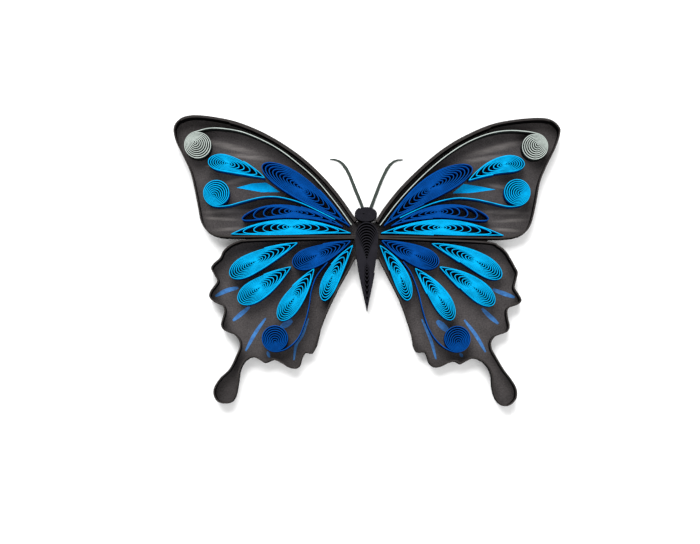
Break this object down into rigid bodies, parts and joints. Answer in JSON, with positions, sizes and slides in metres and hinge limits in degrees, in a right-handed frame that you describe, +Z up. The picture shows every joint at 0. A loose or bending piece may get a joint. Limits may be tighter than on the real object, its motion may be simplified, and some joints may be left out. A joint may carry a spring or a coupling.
{
  "type": "quilled paper butterfly",
  "caption": "Flat butterfly of wound and pinched paper strips on edge, glued to a thin die-cut sheet inside black paper rims; lies on its back.",
  "frame": {"origin": "on the back face of the sheet, on the body's centre line, in the middle of the outline", "axes": "+Z up out of the sheet, +Y towards the head, +X towards the wing that is on the right in the picture"},
  "size_m": [0.0873, 0.0656, 0.0033],
  "materials": {
    "backing_card": "matt dark grey card",
    "black_paper": "matt black paper strip",
    "bright_blue_paper": "matt bright blue paper strip",
    "deep_blue_paper": "matt deep blue paper strip",
    "pale_grey_paper": "matt pale grey paper strip"
  },
  "bodies": {
    "root": {"wing_backing": "backing_card", "body": "black_paper", "head": "black_paper", "forewing_rim_left": "black_paper", "hindwing_rim_left": "black_paper", "forewing_drop_left": "bright_blue_paper", "forewing_margin_scroll_left": "bright_blue_paper", "forewing_long_leaf_left": "bright_blue_paper", "hindwing_outer_drop_left": "bright_blue_paper", "hindwing_middle_drop_left": "bright_blue_paper", "hindwing_inner_drop_left": "bright_blue_paper", "hindwing_root_drop_left": "bright_blue_paper", "forewing_plume_left": "deep_blue_paper", "forewing_dark_leaf_left": "deep_blue_paper", "hindwing_dark_drop_left": "deep_blue_paper", "hindwing_scroll_left": "deep_blue_paper", "forewing_tip_scroll_left": "pale_grey_paper", "forewing_rim_right": "black_paper", "hindwing_rim_right": "black_paper", "forewing_drop_right": "bright_blue_paper", "forewing_margin_scroll_right": "bright_blue_paper", "forewing_long_leaf_right": "bright_blue_paper", "hindwing_outer_drop_right": "bright_blue_paper", "hindwing_middle_drop_right": "bright_blue_paper", "hindwing_inner_drop_right": "bright_blue_paper", "hindwing_root_drop_right": "bright_blue_paper", "forewing_plume_right": "deep_blue_paper", "forewing_dark_leaf_right": "deep_blue_paper", "hindwing_dark_drop_right": "deep_blue_paper", "hindwing_scroll_right": "deep_blue_paper", "forewing_tip_scroll_right": "pale_grey_paper"}
  },
  "joints": []
}
